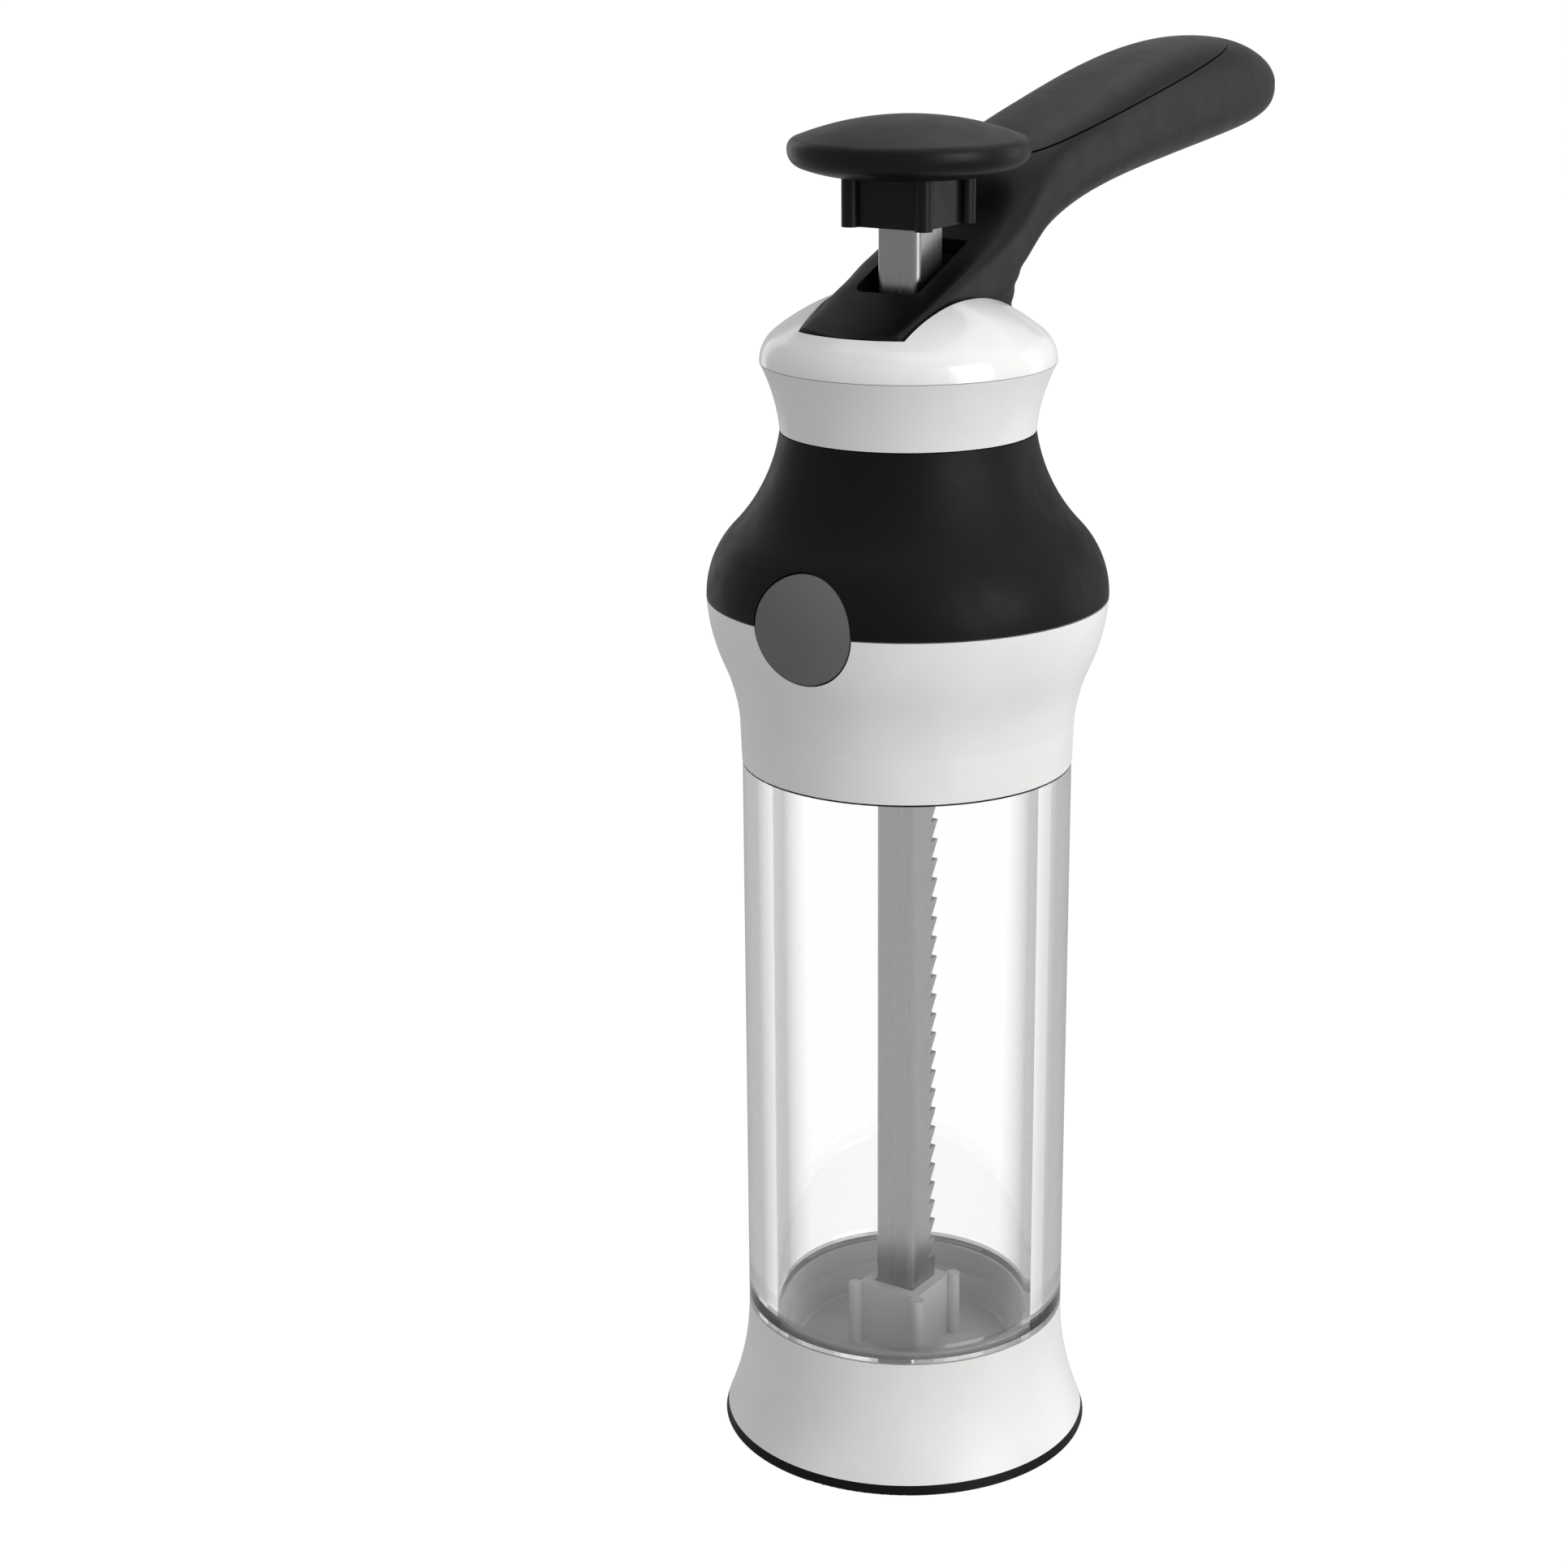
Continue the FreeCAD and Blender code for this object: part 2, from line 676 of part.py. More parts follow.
def make_pivot_clips():
    """Two open spring clips on the ends of the pivot pin."""
    body = new_body("pivot_clips")
    for side in (-1, 1):
        sketch = sketch_on(body, "YZ", 12.5 if side > 0 else -13.2)
        circle(sketch, S["pivot_y"], S["pivot_z"], 3.5)
        circle(sketch, S["pivot_y"], S["pivot_z"], S["pivot_pin_r"])
        pad(sketch, 0.7)
    gap = sketch_on(body, "YZ")
    rectangle(gap, S["pivot_y"] - 1.1, S["pivot_y"] + 1.1, S["pivot_z"] - 4, S["pivot_z"])
    pocket(gap, 30, midplane=True)
    return body


# ---------------------------------------------------------------------------------------------
# Lever
# ---------------------------------------------------------------------------------------------
# Cross-sections of the lever from its root to its nose.  Each has the lowest and the highest
# point of the section as (y, z), its half width, and how square it is (2 is an ellipse).
LEVER_SECTIONS = [
    ((20.2, 203.4), (-22.5, 203.4), 9.9, 9.0),
    ((20.2, 205.6), (-16.8, 206.8), 10.4, 8.0),
    ((20.5, 208.2), (-9.0, 210.1), 10.9, 6.5),
    ((21.6, 210.7), (0.5, 214.1), 11.3, 5.0),
    ((23.7, 212.9), (9.6, 218.0), 11.6, 4.0),
    ((27.0, 214.9), (16.6, 222.6), 11.7, 3.4),
    ((31.5, 216.6), (22.2, 228.6), 11.8, 3.0),
    ((40.0, 219.0), (33.0, 233.9), 11.9, 2.8),
    ((54.0, 221.6), (50.0, 238.2), 12.0, 2.7),
    ((74.0, 223.7), (71.5, 242.9), 12.0, 2.6),
    ((94.0, 225.4), (93.0, 245.6), 11.8, 2.6),
    ((110.0, 226.7), (111.0, 245.3), 11.2, 2.5),
    ((120.0, 227.8), (121.6, 242.8), 10.0, 2.4),
    ((126.6, 229.3), (127.9, 239.6), 7.6, 2.3),
    ((130.0, 231.2), (130.6, 236.6), 4.2, 2.1),
]
LEVER_NOSE = (131.3, 233.9)


def lever_section(low, high, half_width, squareness):
    """Closed smooth curve round one section of the lever."""
    low, high = Vector(0, *low), Vector(0, *high)
    middle, up = (low + high) * 0.5, (high - low) * 0.5
    points = []
    for k in range(24):
        angle = 2 * math.pi * (k + 0.5) / 24
        across = math.copysign(abs(math.cos(angle)) ** (2 / squareness), math.cos(angle))
        along = math.copysign(abs(math.sin(angle)) ** (2 / squareness), math.sin(angle))
        points.append(middle + up * along + Vector(half_width * across, 0, 0))
    curve = Part.BSplineCurve()
    curve.interpolate(points, PeriodicFlag=True)
    return Part.Wire(curve.toShape())


def make_lever_form():
    """The lever's whole outer shape, lofted, with its toe cut to the dome's round."""
    sections = [lever_section(*section) for section in LEVER_SECTIONS]
    nose = Part.Vertex(0, *LEVER_NOSE)
    loft = Part.makeLoft(sections + [nose], True)
    keep = Part.makeCylinder(S["toe_r"].number, 60, Vector(0, 0, 190))
    behind = Part.makeBox(60, 200, 80, Vector(-30, 0, 190))
    form = doc.addObject("Part::Feature", "lever_form")
    form.Label = "lever_form"
    form.Shape = loft.common(keep.fuse(behind))
    return form


PARTING_LOW = (21.0, 229.6)
PARTING_HIGH = (140.0, 250.0)
PARTING_GAP = 0.25
# The tongue that joins the inlay to the grip stays inside the handle's round, so it stops well
# short of the nose, where the crown drops below it.
TONGUE_NEAR, TONGUE_FAR = 36.0, 92.0
TONGUE_HEIGHT = 1.0
TONGUE_HALF = 7.0


def parting_z(y):
    """Height of the parting plane between the handle's grip and its inlay."""
    (y0, z0), (y1, z1) = PARTING_LOW, PARTING_HIGH
    return z0 + (z1 - z0) * (y - y0) / (y1 - y0)


def parting_block(label, lift):
    """Everything above the parting plane, or above a plane lifted from it."""
    block = new_body(label)
    sketch = sketch_on(block, "YZ")
    (y0, z0), (y1, z1) = PARTING_LOW, PARTING_HIGH
    outline(sketch, [(y0, z0 + lift), (y1, z1 + lift), (y1, 270.0), (y0, 270.0)])
    pad(sketch, 40, midplane=True)
    return block


def split_lever(form):
    """Top inlay above a sloping parting plane, and the grip around the core below it."""
    parting = parting_block("parting_block", 0.0)
    raised = parting_block("parting_raised", PARTING_GAP)
    crown_only = doc.addObject("Part::MultiCommon", "inlay_crown")
    crown_only.Shapes = [form, raised]
    tongue = new_body("inlay_tongue")
    sketch = sketch_on(tongue, "YZ")
    near_z, far_z = parting_z(TONGUE_NEAR), parting_z(TONGUE_FAR)
    outline(sketch, [(TONGUE_NEAR, near_z), (TONGUE_FAR, far_z),
                     (TONGUE_FAR, far_z + TONGUE_HEIGHT), (TONGUE_NEAR, near_z + TONGUE_HEIGHT)])
    pad(sketch, 2 * TONGUE_HALF, midplane=True)
    inlay = doc.addObject("Part::MultiFuse", "lever_inlay")
    inlay.Shapes = [crown_only, tongue]
    lower = doc.addObject("Part::Cut", "lever_lower")
    lower.Base, lower.Tool = form, parting
    slot = new_body("lever_slot")
    hole = sketch_on(slot, "XY", 200)
    rectangle(hole, -S["slot_x"], S["slot_x"], S["slot_front"], S["slot_rear"])
    pad(hole, 25)
    round_edges(slot, 2.2, lambda edge: edge.Length > 24 and edge.CenterOfMass.y < 0)
    below = new_body("pawl_space")
    hole = sketch_on(below, "XY", 200)
    rectangle(hole, -S["slot_x"], S["slot_x"], S["slot_front"], 13.4)
    pad(hole, 4.6)
    # The core is cut away first: in another order the grip is no longer a sound solid.
    cored = doc.addObject("Part::Cut", "lever_cored")
    cored.Base, cored.Tool = lower, make_lever_core()
    slotted = doc.addObject("Part::Cut", "lever_slotted")
    slotted.Base, slotted.Tool = cored, slot
    grip = doc.addObject("Part::Cut", "lever_grip")
    grip.Base, grip.Tool = slotted, below


def make_lever_core():
    """Stiff core: two cheeks beside the rod, the pivot boss in front, a spine in the handle."""
    body = new_body("lever_core")
    side = sketch_on(body, "YZ")
    outline(side, [
        (-17.6, 193.0, Size(5.2)),
        (-10.0, 190.8),
        (13.2, 194.0),
        (13.2, 201.0),
        (19.2, 201.0),
        (18.6, 206.0),
        (22.0, 212.8),
        (32.0, 219.4),
        (60.0, 225.0),
        (110.0, 230.5),
        (110.0, 239.0),
        (28.0, 228.9),
        (25.0, 226.0),
        (16.5, 217.6),
        (9.5, 215.2),
        (-17.6, 204.2),
    ])
    pad(side, 2 * 8.6, midplane=True)
    for rear, height in ((S["slot_rear"], 60), (13.4, 19.6)):
        slot = sketch_on(body, "XY", 185)
        rectangle(slot, -S["slot_x"], S["slot_x"], S["slot_front"], rear)
        pocket(slot, height)
    pins = sketch_on(body, "YZ")
    circle(pins, S["pivot_y"], S["pivot_z"], S["pivot_pin_r"] + 0.04)
    circle(pins, S["pawl_y"], S["pawl_z"], S["pawl_pin_r"])
    pocket(pins, 40, midplane=True)
    return body


def make_pawl_pin():
    body = new_body("pawl_pin")
    sketch = sketch_on(body, "YZ")
    circle(sketch, S["pawl_y"], S["pawl_z"], S["pawl_pin_r"])
    pad(sketch, 2 * 8.6, midplane=True)
    return body


def make_drive_pawl():
    """Pawl that pushes the rod's teeth down; it hangs on its pin between the cheeks."""
    body = new_body("drive_pawl")
    sketch = sketch_on(body, "YZ")
    tip = S["rod_y"] + 0.38
    y, z = S["pawl_y"], S["pawl_z"]
    outline(sketch, [
        (tip, z - 3.0),
        (8.4, z - 4.0),
        (y + 1.8, z - 2.4, Size(3.0)),
        (y + 1.8, z + 2.4),
        (8.6, z + 3.2),
        (tip, z - 1.2),
    ])
    circle(sketch, y, z, S["pawl_pin_r"] + 0.04)
    pad(sketch, 2 * 3.4, midplane=True)
    return body


def make_release_button():
    """Front button; its face follows the body's own curve."""
    disc = new_body("button_disc")
    sketch = sketch_on(disc, "XZ", 30.5)
    circle(sketch, 0, S["button_z"], S["button_r"])
    pad(sketch, 6)
    envelope = new_body("button_envelope")
    side = sketch_on(envelope, "XZ")
    r, z = S["waist_r"], S["waist"]
    outline(side, [(20, 146.4), (32.2, 146.4, Size(33)), (r, z, Size(16.8)), (30.6, 169.2),
                   (20, 169.2)])
    revolve(side)
    button = doc.addObject("Part::MultiCommon", "release_button")
    button.Shapes = [disc, envelope]
    return button


def make_release_yoke():
    """Frame round the rod with a catch behind the teeth, and a stem to the button."""
    body = new_body("release_yoke")
    low = S["yoke_low"]
    frame = sketch_on(body, "XY", low)
    rectangle(frame, -8.4, 8.4, -10.2, 10.4)
    rectangle(frame, -5.0, 5.0, -7.6, 6.6)
    pad(frame, S["yoke_thick"])
    stem = sketch_on(body, "XY", low)
    rectangle(stem, -2.5, 2.5, -30.5, -10.0)
    pad(stem, S["yoke_thick"])
    catch = sketch_on(body, "YZ")
    tip = S["rod_y"] + 0.38
    outline(catch, [(6.8, low), (6.8, low + S["yoke_thick"]), (tip, low + 2.4), (tip, low + 1.6)])
    pad(catch, 2 * 4.9, midplane=True)
    return body


def make_button_spring():
    middle = S["yoke_low"].number + S["yoke_thick"].number / 2
    place = Placement(Vector(0, -30.3, middle), Rotation(Vector(1, 0, 0), -90))
    return coil("button_spring", 3.75, 0.3, 11.6, 6.5, place)


def make_lever_spring():
    low = S["shelf"].number + 2.1
    place = Placement(Vector(0, 15.55, low), Rotation())
    return coil("lever_spring", 1.7, 0.28, 200.8 - low, 7, place)


def make_pawl_spring():
    place = Placement(Vector(3.6, S["pawl_y"].number, S["pawl_z"].number),
                      Rotation(Vector(0, 1, 0), 90))
    return coil("pawl_spring", 1.85, 0.22, 2.2, 3.5, place)


# ---------------------------------------------------------------------------------------------
# Rod, plunger and knob
# ---------------------------------------------------------------------------------------------
PLUNGER_PIN_Z = 21.5
KNOB_PIN_Z = 224.4
CROSS_PIN_R = 1.25
PLUNGER_PIN_HALF = 5.3
KNOB_PIN_HALF = 6.0
KNOB_HEAD_R = 1.7
KNOB_HEAD_DEPTH = 1.2
KNOB_SCREWS = on_circle(11.3, (0, 90, 180, 270))


def make_rack_rod():
    """Channel folded from sheet, with saw teeth cut in both rear edges."""
    body = new_body("rack_rod")
    section = sketch_on(body, "XY", S["rod_low"])
    x, y, sheet_ = S["rod_x"], S["rod_y"], S["rod_sheet"]
    inner = x - sheet_
    outline(section, [
        (-x, -y + 1.4, Size(1.4)), (-x + 1.4, -y), (x - 1.4, -y, Size(1.4)), (x, -y + 1.4),
        (x, y), (inner, y), (inner, -y + sheet_), (-inner, -y + sheet_), (-inner, y), (-x, y),
    ])
    pad(section, S["rod_top"] - S["rod_low"])
    tooth = sketch_on(body, "YZ")
    root, first = y - S["tooth_depth"], S["tooth_first"]
    outline(tooth, [(y + 0.5, first), (root, first), (y - 0.05, first + S["tooth_pitch"] - 0.25),
                    (y + 0.5, first + S["tooth_pitch"] - 0.25)])
    notch = pocket(tooth, 10, midplane=True)
    rack = body.newObject("PartDesign::LinearPattern", "rack_rod_rack")
    rack.Originals = [notch]
    axis = [f for f in body.Origin.OriginFeatures if f.Role == "Z_Axis"][0]
    rack.Direction = (axis, [""])
    rack.Mode = "Spacing"
    rack.Offset = S["tooth_pitch"].number
    rack.setExpression("Offset", S["tooth_pitch"].formula)
    rack.Occurrences = int(S["tooth_count"].number)
    rack.setExpression("Occurrences", S["tooth_count"].formula)
    body.Tip = rack
    for side in (-1, 1):
        relief = sketch_on(body, "YZ", x if side > 0 else -x)
        rectangle(relief, -y - 0.5, y + 0.5, 126.5, 212.0)
        pocket(relief, 0.35, backwards=side > 0)
    pins = sketch_on(body, "YZ")
    for height in (PLUNGER_PIN_Z, KNOB_PIN_Z):
        circle(pins, 0, height, CROSS_PIN_R)
    pocket(pins, 10, midplane=True)
    return body


def four_posts(body, low, high, half, post_at, post_r):
    """Square block with a round post on each corner, and a square socket for the rod."""
    block = sketch_on(body, "XY", low)
    rectangle(block, -half, half, -half, half)
    pad(block, high - low)
    posts = sketch_on(body, "XY", low)
    circle(posts, post_at, post_at, post_r)
    repeat_round(pad(posts, high - low), 4)


def rod_socket(body, low, high, pin_z, pin_half):
    """Socket for the rod, and the space of a cross pin that is moulded in out of sight."""
    socket = sketch_on(body, "XY", low)
    rod_hole(socket, 0.02)
    pocket(socket, high - low)
    pin = sketch_on(body, "YZ")
    circle(pin, 0, pin_z, CROSS_PIN_R)
    pocket(pin, 2 * pin_half, midplane=True)


def make_plunger():
    body = new_body("plunger")
    cup = sketch_on(body, "XZ")
    low, rim, r = S["plunger_low"], S["plunger_rim"], S["plunger_r"]
    outline(cup, [
        (0, low), (r - 0.5, low), (r, low + 0.5), (r, rim - 0.3), (r - 0.3, rim),
        (r - 1.1, rim), (r - 1.3, rim - 4.0), (20.9, rim - 4.6), (20.2, low + 2.2),
        (19.6, low + 1.8), (0, low + 1.8),
    ])
    revolve(cup)
    four_posts(body, low + 1.0, S["hub_top"], 6.1, 6.65, 1.2)
    rod_socket(body, S["rod_low"], S["hub_top"], PLUNGER_PIN_Z, PLUNGER_PIN_HALF)
    return body


def make_cross_pin(label, height, half):
    body = new_body(label)
    sketch = sketch_on(body, "YZ")
    circle(sketch, 0, height, CROSS_PIN_R)
    pad(sketch, 2 * half, midplane=True)
    return body


def make_knob_hub():
    body = new_body("knob_hub")
    flange = sketch_on(body, "XY", S["knob_low"])
    circle(flange, 0, 0, 13.7)
    for x, y in KNOB_SCREWS:
        circle(flange, x, y, 0.9)
    pad(flange, 2.5)
    recesses = sketch_on(body, "XY", S["knob_low"])
    for x, y in KNOB_SCREWS:
        circle(recesses, x, y, KNOB_HEAD_R)
    pocket(recesses, KNOB_HEAD_DEPTH)
    four_posts(body, S["hub_low"], S["knob_low"] + 1.0, 6.9, 7.1, 1.5)
    rod_socket(body, S["hub_low"], S["rod_top"], KNOB_PIN_Z, KNOB_PIN_HALF)
    return body


def make_knob_cap():
    body = new_body("knob_cap")
    sketch = sketch_on(body, "XZ")
    low, high, r = S["knob_low"], S["knob_top"], S["knob_r"]
    outline(sketch, [
        (0, low + 2.5),
        (13.7, low + 2.5),
        (13.7, low),
        (14.4, low, Size(26.0)),
        (18.5, low + 1.15, Size(3.0)),
        (r, low + 4.1, Size(1.9)),
        (19.3, low + 5.9, crown(19.3, high - low - 5.9)),
        (0, high),
    ])
    revolve(sketch)
    screw_holes = sketch_on(body, "XY", low + 2.5)
    for x, y in KNOB_SCREWS:
        circle(screw_holes, x, y, 0.9)
    pocket(screw_holes, 2.5)
    return body


def make_all():
    make_base_ring()
    make_foot_ring()
    make_cookie_disc()
    make_barrel()
    make_barrel_gasket()
    make_lower_housing()
    make_grip_sleeve()
    make_body_core()
    make_neck_collar()
    make_dome_cap()
    make_lower_guide()
    make_upper_guide()
    make_lever_bracket()
    deck, shelf, knob = S["deck"].number, S["shelf"].number, S["knob_low"].number
    make_screws("housing_screws", HOUSING_SCREWS, deck - 1.5, deck, deck + 9.0, 2.6, 1.4)
    make_screws("bracket_screws", BRACKET_SCREWS, shelf + 2.0, shelf + 3.5, shelf - 2.0, 2.4,
                BRACKET_SHANK_R)
    make_screws("knob_screws", KNOB_SCREWS, knob + 0.2, knob + KNOB_HEAD_DEPTH, knob + 5.0,
                KNOB_HEAD_R, 0.9)
    make_pivot_pin()
    make_pivot_clips()
    split_lever(make_lever_form())
    make_pawl_pin()
    make_drive_pawl()
    make_pawl_spring()
    make_lever_spring()
    make_release_button()
    make_release_yoke()
    make_button_spring()
    make_rack_rod()
    make_plunger()
    make_cross_pin("plunger_pin", PLUNGER_PIN_Z, PLUNGER_PIN_HALF)
    make_knob_hub()
    make_knob_cap()
    make_cross_pin("knob_pin", KNOB_PIN_Z, KNOB_PIN_HALF)


NODES = [
    "base_ring", "foot_ring", "cookie_disc",
    "barrel", "barrel_gasket",
    "lower_housing", "grip_sleeve", "body_core", "neck_collar", "dome_cap", "lower_guide",
    "upper_guide", "lever_bracket", "housing_screws", "bracket_screws", "pivot_pin",
    "pivot_clips", "lever_spring",
    "lever_core", "lever_grip", "lever_inlay", "pawl_pin",
    "drive_pawl", "pawl_spring",
    "release_button", "release_yoke", "button_spring",
    "rack_rod", "plunger", "plunger_pin", "knob_hub", "knob_cap", "knob_pin", "knob_screws",
]


def check_document():
    """Stop on a failed object, a cut that took nothing away, or a bad solid."""
    for thing in doc.Objects:
        if "Invalid" in thing.State or "Error" in thing.State:
            raise RuntimeError("%s failed" % thing.Label)
        if thing.TypeId == "PartDesign::Pocket":
            if thing.BaseFeature.Shape.Volume - thing.Shape.Volume < 0.01:
                raise RuntimeError("%s cuts nothing" % thing.Label)
    for name in NODES:
        shape = doc.getObject(name).Shape
        if shape.isNull() or not shape.isValid():
            raise RuntimeError("%s has no valid shape" % name)


def export_parts():
    os.makedirs("parts", exist_ok=True)
    for name in NODES:
        shape = doc.getObject(name).Shape
        shape.exportStep("parts/%s.step" % name)
        print("%-16s %9.1f mm3, %d solid(s)" % (name, shape.Volume, len(shape.Solids)))


make_all()
doc.recompute()
check_document()
export_parts()
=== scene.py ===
# %% [markdown]
# # A cookie press, from a working model to a finished picture
# The press is already a working model: every piece that moves, fits or fastens has its real shape.
# This lesson gives those pieces their finishes and lights them. It adds no pieces of its own.
# Everything is in metres. The press stands on the floor at the origin, its release button faces
# -Y, and its handle points to +Y.

# %% Load the frame
import bpy
import math
from mathutils import Matrix, Vector


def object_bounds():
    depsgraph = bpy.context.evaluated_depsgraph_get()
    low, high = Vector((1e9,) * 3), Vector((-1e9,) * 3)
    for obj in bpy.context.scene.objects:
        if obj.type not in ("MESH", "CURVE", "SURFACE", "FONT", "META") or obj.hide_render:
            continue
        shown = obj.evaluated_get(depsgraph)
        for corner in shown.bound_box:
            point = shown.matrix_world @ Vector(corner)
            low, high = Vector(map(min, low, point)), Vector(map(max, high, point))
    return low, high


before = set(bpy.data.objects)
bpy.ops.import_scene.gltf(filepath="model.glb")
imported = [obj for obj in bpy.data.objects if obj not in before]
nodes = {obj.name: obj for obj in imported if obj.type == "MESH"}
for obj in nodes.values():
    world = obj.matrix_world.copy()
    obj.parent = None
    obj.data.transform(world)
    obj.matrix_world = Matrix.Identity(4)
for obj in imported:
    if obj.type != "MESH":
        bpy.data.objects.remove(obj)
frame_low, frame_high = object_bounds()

# %% [markdown]
# ## Colours and sizes
# A designer names a colour with a hex value such as E8E8E6, which is stored with the screen's
# curve (sRGB). A shader works with light, so each value is turned to linear first. Patterns are
# sized from the real thing: a grain of half a millimetre repeats 2000 times in a metre.

# %% Colour and size helpers
MM = 0.001
# A noise texture seldom leaves this stretch of 0 to 1, so this much is spread over a whole range.
NOISE_LOW, NOISE_HIGH = 0.3, 0.7


def linear(hex_colour):
    """A shader colour from an sRGB hex value."""
    parts = [int(hex_colour[k:k + 2], 16) / 255 for k in (0, 2, 4)]
    return [c / 12.92 if c <= 0.04045 else ((c + 0.055) / 1.055) ** 2.4 for c in parts] + [1.0]


def per_metre(size_mm):
    """Texture scale of a pattern that repeats every size_mm."""
    return 1 / (size_mm * MM)


print("mid grey", [round(c, 3) for c in linear("808080")])

# %% [markdown]
# ## One helper for the node tree
# A material is a small machine of nodes. Adding a node is always the same three steps: make it,
# set its values, and link its inputs. One function does all three, so the recipes below read as a
# list of what each finish is made of.

# %% Node helper
def add_node(material, kind, values=None, links=None, **settings):
    """Add a node, set its properties and sockets, and link its inputs to other nodes' outputs."""
    node = material.node_tree.nodes.new(kind)
    for name, value in settings.items():
        setattr(node, name, value)
    for name, value in (values or {}).items():
        node.inputs[name].default_value = value
    for name, socket in (links or {}).items():
        material.node_tree.links.new(socket, node.inputs[name])
    return node


def new_material(name):
    """An empty node material, with its Object coordinates and its output."""
    material = bpy.data.materials.new(name)
    material.use_nodes = True
    material.node_tree.nodes.clear()
    place = add_node(material, "ShaderNodeTexCoord").outputs["Object"]
    output = add_node(material, "ShaderNodeOutputMaterial")
    return material, place, output


# %% [markdown]
# ## Moulded plastic and rubber
# Nearly everything here comes out of a steel mould. The mould's own surface gives the finish: a
# spark-eroded one leaves a fine even grain, a polished one leaves gloss. The eye also sees how the
# plastic flowed, as a faint cloudiness many millimetres across, and how hands have rubbed it, as
# slow changes of roughness. So one recipe with three scales makes every moulded finish.

# %% Moulded finish
def moulded(name, dark, light, roughness, grain_mm, grain_depth_mm, cloud_mm=18.0, **shader_values):
    """Opaque moulding: cloudy colour, uneven roughness and the mould's own grain as bump."""
    material, place, output = new_material(name)
    cloud = add_node(material, "ShaderNodeTexNoise", {"Scale": per_metre(cloud_mm), "Detail": 3.0},
                     {"Vector": place})
    colour = add_node(material, "ShaderNodeValToRGB", links={"Fac": cloud.outputs["Fac"]})
    for stop, position, tone in zip(colour.color_ramp.elements, (0.35, 0.65), (dark, light)):
        stop.position, stop.color = position, linear(tone)
    rub = add_node(material, "ShaderNodeTexNoise", {"Scale": per_metre(cloud_mm / 4), "Detail": 5.0},
                   {"Vector": place})
    low, high = roughness
    uneven = add_node(material, "ShaderNodeMapRange",
                      {"From Min": NOISE_LOW, "From Max": NOISE_HIGH, "To Min": low, "To Max": high},
                      {"Value": rub.outputs["Fac"]})
    grain = add_node(material, "ShaderNodeTexNoise", {"Scale": per_metre(grain_mm), "Detail": 2.0},
                     {"Vector": place})
    bump = add_node(material, "ShaderNodeBump", {"Strength": 1.0, "Distance": grain_depth_mm * MM},
                    {"Height": grain.outputs["Fac"]})
    shader = add_node(material, "ShaderNodeBsdfPrincipled", shader_values,
                      {"Base Color": colour.outputs["Color"], "Roughness": uneven.outputs["Result"],
                       "Normal": bump.outputs["Normal"]})
    material.node_tree.links.new(shader.outputs["BSDF"], output.inputs["Surface"])
    return material


# ABS from a spark-eroded mould: bone white, softly shiny, with a grain just wide enough to show.
satin_white_abs = moulded("satin_white_abs", "E2E2E0", "E8E8E6", (0.34, 0.42), 0.45, 0.006,
                          IOR=1.54)
# ABS from a polished mould: the same white, glossy, with only a slow ripple where it shrank.
polished_white_abs = moulded("polished_white_abs", "E6E6E4", "ECECEA", (0.14, 0.19), 5.0, 0.012,
                             IOR=1.54)
# Thermoplastic rubber: nearly black, and so dull that only its edges catch the light.
soft_black_rubber = moulded("soft_black_rubber", "060606", "090909", (0.46, 0.56), 0.40, 0.008,
                            IOR=1.50, **{"Specular IOR Level": 0.16})
# Nylon handle with a soft-touch skin: dark grey, satin, smooth to the hand.
satin_black_nylon = moulded("satin_black_nylon", "080808", "0B0B0B", (0.36, 0.44), 0.50, 0.004,
                            IOR=1.53, **{"Specular IOR Level": 0.18})
# Glass-filled nylon: short fibres dull the black and roughen it.
filled_black_nylon = moulded("filled_black_nylon", "0E0E0E", "1A1A1A", (0.48, 0.66), 0.80, 0.014,
                             cloud_mm=5.0, IOR=1.53)
# Acetal, milk white and waxy.
white_acetal = moulded("white_acetal", "D8D8D2", "E0E0DA", (0.30, 0.40), 0.70, 0.006, IOR=1.48)
# ABS coloured mid grey, from an eroded mould.
grey_abs = moulded("grey_abs", "5E5E5E", "646464", (0.50, 0.60), 0.35, 0.008, IOR=1.54)
print("moulded finishes ready")

# %% [markdown]
# ## Clear and translucent plastic
# The barrel is a clear styrene tube with a wall of five millimetres. Light bends at four surfaces,
# but over a pure white floor every bent ray still ends on white. So the dark bands along the edges
# are painted shade: the base colour greys where the wall turns away from the view. The plunger is a
# natural polypropylene: milky, so light goes in and comes out blurred.

# %% Clear and translucent finishes
def see_through(name, tint, roughness, grain_mm, grain_depth_mm, **shader_values):
    """Moulding that passes light, with a slow ripple in its surface."""
    material, place, output = new_material(name)
    ripple = add_node(material, "ShaderNodeTexNoise", {"Scale": per_metre(grain_mm), "Detail": 1.0},
                      {"Vector": place})
    bump = add_node(material, "ShaderNodeBump", {"Strength": 1.0, "Distance": grain_depth_mm * MM},
                    {"Height": ripple.outputs["Fac"]})
    low, high = roughness
    uneven = add_node(material, "ShaderNodeMapRange",
                      {"From Min": NOISE_LOW, "From Max": NOISE_HIGH, "To Min": low, "To Max": high},
                      {"Value": ripple.outputs["Fac"]})
    values = {"Base Color": linear(tint)}
    values.update(shader_values)
    shader = add_node(material, "ShaderNodeBsdfPrincipled", values,
                      {"Roughness": uneven.outputs["Result"], "Normal": bump.outputs["Normal"]})
    material.node_tree.links.new(shader.outputs["BSDF"], output.inputs["Surface"])
    return material


clear_styrene = see_through("clear_styrene", "FCFDFD", (0.0, 0.03), 14.0, 0.006,
                            IOR=1.49, **{"Transmission Weight": 1.0})
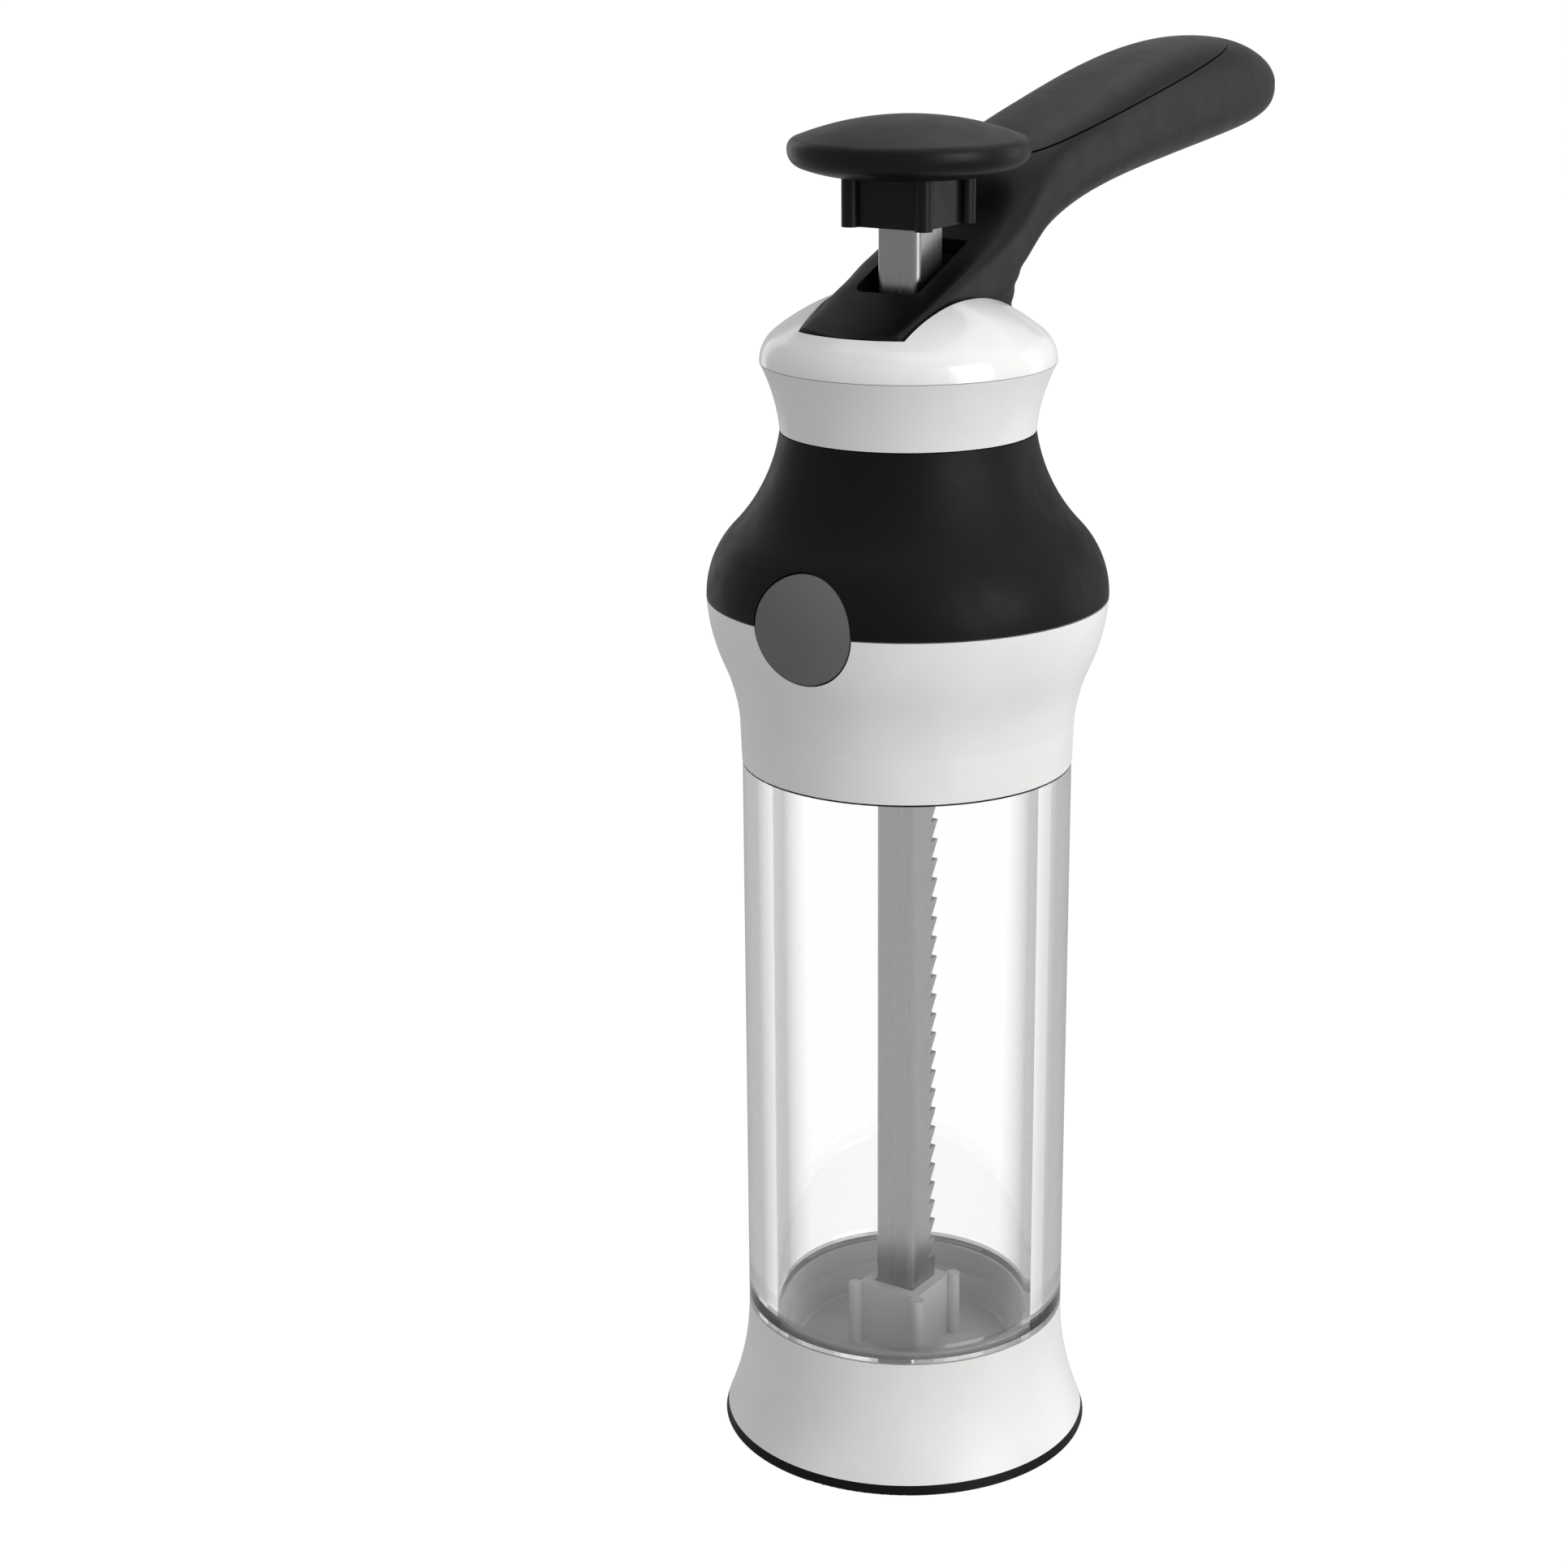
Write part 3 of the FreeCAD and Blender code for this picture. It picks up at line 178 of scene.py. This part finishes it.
# Painted shade: the base colour greys where the wall turns away from the view, which draws the dark
# bands along the tube's edges.
EDGE_PAINTED_SHADE = ((0.38, "FDFDFD"), (0.62, "888888"))
painted_shade_mask = add_node(clear_styrene, "ShaderNodeLayerWeight", {"Blend": 0.5})
painted_shade_ramp = add_node(clear_styrene, "ShaderNodeValToRGB", links={"Fac": painted_shade_mask.outputs["Facing"]})
for stop, (position, tone) in zip(painted_shade_ramp.color_ramp.elements, EDGE_PAINTED_SHADE):
    stop.position, stop.color = position, linear(tone)
clear_shader = next(n for n in clear_styrene.node_tree.nodes if n.type == "BSDF_PRINCIPLED")
# The painted shade ramp becomes the clear shader's base colour.
clear_styrene.node_tree.links.new(painted_shade_ramp.outputs["Color"], clear_shader.inputs["Base Color"])
milky_polypropylene = see_through("milky_polypropylene", "F2F2F2", (0.28, 0.36), 3.0, 0.010,
                                  IOR=1.49, **{"Transmission Weight": 0.35})
soft_silicone = see_through("soft_silicone", "D8D8D8", (0.40, 0.50), 2.0, 0.010,
                            IOR=1.41, **{"Transmission Weight": 0.5})
print("clear finishes ready")

# %% [markdown]
# ## Stainless and spring steel
# The rod is folded from brushed sheet. Brushing leaves long fine scratches along it, so the noise is
# stretched: its scale is small along Z and large across. Metals take their colour from the base
# colour and keep the default IOR.

# %% Steel finishes
def brushed_steel(name, tone, roughness, scratch_mm, stretch):
    """Metal with scratches along Z; stretch is how much longer a scratch is than it is wide."""
    material, place, output = new_material(name)
    scale = per_metre(scratch_mm)
    lengthwise = add_node(material, "ShaderNodeMapping", {"Scale": (scale, scale, scale / stretch)},
                          {"Vector": place})
    scratch = add_node(material, "ShaderNodeTexNoise", {"Scale": 1.0, "Detail": 4.0},
                       {"Vector": lengthwise.outputs["Vector"]})
    low, high = roughness
    uneven = add_node(material, "ShaderNodeMapRange",
                      {"From Min": NOISE_LOW, "From Max": NOISE_HIGH, "To Min": low, "To Max": high},
                      {"Value": scratch.outputs["Fac"]})
    bump = add_node(material, "ShaderNodeBump", {"Strength": 1.0, "Distance": 0.002 * MM},
                    {"Height": scratch.outputs["Fac"]})
    shader = add_node(material, "ShaderNodeBsdfPrincipled",
                      {"Base Color": linear(tone), "Metallic": 1.0, "Anisotropic": 0.35},
                      {"Roughness": uneven.outputs["Result"], "Normal": bump.outputs["Normal"]})
    material.node_tree.links.new(shader.outputs["BSDF"], output.inputs["Surface"])
    return material


satin_stainless = brushed_steel("satin_stainless", "9A9A9A", (0.26, 0.38), 0.15, 60)
bright_steel = brushed_steel("bright_steel", "D2D2D2", (0.14, 0.24), 0.20, 4)
# The knob's screws are blackened in an oxide bath, which leaves a dull brown-black skin.
black_oxide_steel = brushed_steel("black_oxide_steel", "242322", (0.36, 0.48), 0.30, 3)
print("steel finishes ready")

# %% [markdown]
# ## Finishes on the pieces
# Each finish is given to the pieces that are made of it. A piece with no finish would stay plain
# grey, so the last line names any that was missed.

# %% Dress every piece
FINISHES = {
    satin_white_abs: ["base_ring", "lower_housing", "neck_collar"],
    polished_white_abs: ["dome_cap"],
    soft_black_rubber: ["foot_ring", "grip_sleeve"],
    satin_black_nylon: ["lever_grip", "lever_inlay", "knob_cap", "knob_hub"],
    filled_black_nylon: ["lever_core", "body_core", "drive_pawl", "release_yoke"],
    white_acetal: ["lower_guide", "upper_guide"],
    clear_styrene: ["barrel"],
    milky_polypropylene: ["plunger"],
    soft_silicone: ["barrel_gasket"],
    grey_abs: ["release_button"],
    satin_stainless: ["rack_rod", "cookie_disc", "lever_bracket"],
    bright_steel: ["housing_screws", "bracket_screws", "pivot_pin", "pivot_clips", "pawl_pin",
                   "lever_spring", "pawl_spring", "button_spring", "plunger_pin", "knob_pin"],
    black_oxide_steel: ["knob_screws"],
}
for material, names in FINISHES.items():
    for name in names:
        mesh = nodes[name].data
        mesh.materials.clear()
        mesh.materials.append(material)
undressed = set(nodes) - {name for names in FINISHES.values() for name in names}
print("dressed", len(nodes), "pieces; without a finish:", sorted(undressed))

# %% [markdown]
# ## The studio
# White plastic on white needs light that falls off. The floor glows like a lit white table, so that
# it stays evenly white, but it throws no light back on the press: the pieces are shaded by the
# lights alone. A large soft source on the right makes the gradient round each white piece, and two
# strips behind draw a pale rim on the black ones.

# %% Floor, light and camera
def soft_light(name, place, aim, width, height, power):
    """Rectangular area light at place, turned to face aim."""
    lamp = bpy.data.lights.new(name, "AREA")
    lamp.shape, lamp.size, lamp.size_y, lamp.energy = "RECTANGLE", width, height, power
    light = bpy.data.objects.new(name, lamp)
    bpy.context.scene.collection.objects.link(light)
    light.location = place
    light.rotation_euler = (Vector(aim) - Vector(place)).to_track_quat("-Z", "Y").to_euler()
    light.visible_camera = False
    return light


FLOOR_SIZE = 60.0
FLOOR_GLOW = 0.96
WORLD_LIGHT = 0.50

bpy.ops.object.select_all(action="DESELECT")
bpy.ops.mesh.primitive_plane_add(size=FLOOR_SIZE)
floor = bpy.context.object
floor.name = "floor"
floor_paint, _, floor_output = new_material("pale_floor")
floor_shader = add_node(floor_paint, "ShaderNodeBsdfPrincipled",
                        {"Base Color": linear("5A5A5A"), "Roughness": 1.0,
                         "Specular IOR Level": 0.0, "Emission Color": linear("FFFFFF"),
                         "Emission Strength": FLOOR_GLOW})
floor_paint.node_tree.links.new(floor_shader.outputs["BSDF"], floor_output.inputs["Surface"])
floor.data.materials.append(floor_paint)
floor.visible_diffuse = False
floor.visible_glossy = False

middle = Vector((0, 0, frame_high.z / 2))
soft_light("overhead", (0.1, 0.3, 1.3), middle, 1.6, 1.6, 6.5)
soft_light("key_right", (1.0, -0.15, 0.45), middle, 0.6, 0.9, 7.0)
soft_light("rim_right", (0.65, 0.95, 0.30), middle, 0.30, 0.9, 1.4)
soft_light("rim_left", (-0.95, 0.45, 0.30), middle, 0.30, 0.9, 0.8)

world = bpy.data.worlds.new("studio")
world.use_nodes = True
background = world.node_tree.nodes["Background"]
background.inputs["Color"].default_value = linear("FFFFFF")
background.inputs["Strength"].default_value = WORLD_LIGHT
bpy.context.scene.world = world
bpy.context.scene.view_settings.view_transform = "Standard"
print(len(bpy.data.lights), "lights over a", FLOOR_SIZE, "m floor")

# %% [markdown]
# ## The camera
# The press is seen from its front right and a little above, through a lens about twice as long as a
# normal one, which keeps its sides nearly parallel.

# %% Camera
CAMERA_PLACE = (0.26468, -0.43953, 0.28412)
CAMERA_TURN_DEG = 33.48
CAMERA_DOWN_DEG = 17.44
CAMERA_ROLL_DEG = -0.51
lens = bpy.data.cameras.new("camera")
lens.lens, lens.sensor_width = 69.70, 36.0
camera = bpy.data.objects.new("camera", lens)
bpy.context.scene.collection.objects.link(camera)
turn = Matrix.Rotation(math.radians(CAMERA_TURN_DEG), 4, "Z")
tilt = Matrix.Rotation(math.radians(90 - CAMERA_DOWN_DEG), 4, "X")
roll = Matrix.Rotation(math.radians(CAMERA_ROLL_DEG), 4, "Z")
camera.matrix_world = Matrix.Translation(CAMERA_PLACE) @ turn @ tilt @ roll
lens.clip_start, lens.clip_end = 0.02, 100.0
bpy.context.scene.camera = camera
print("camera at", CAMERA_PLACE, "with a", round(lens.lens, 1), "mm lens")
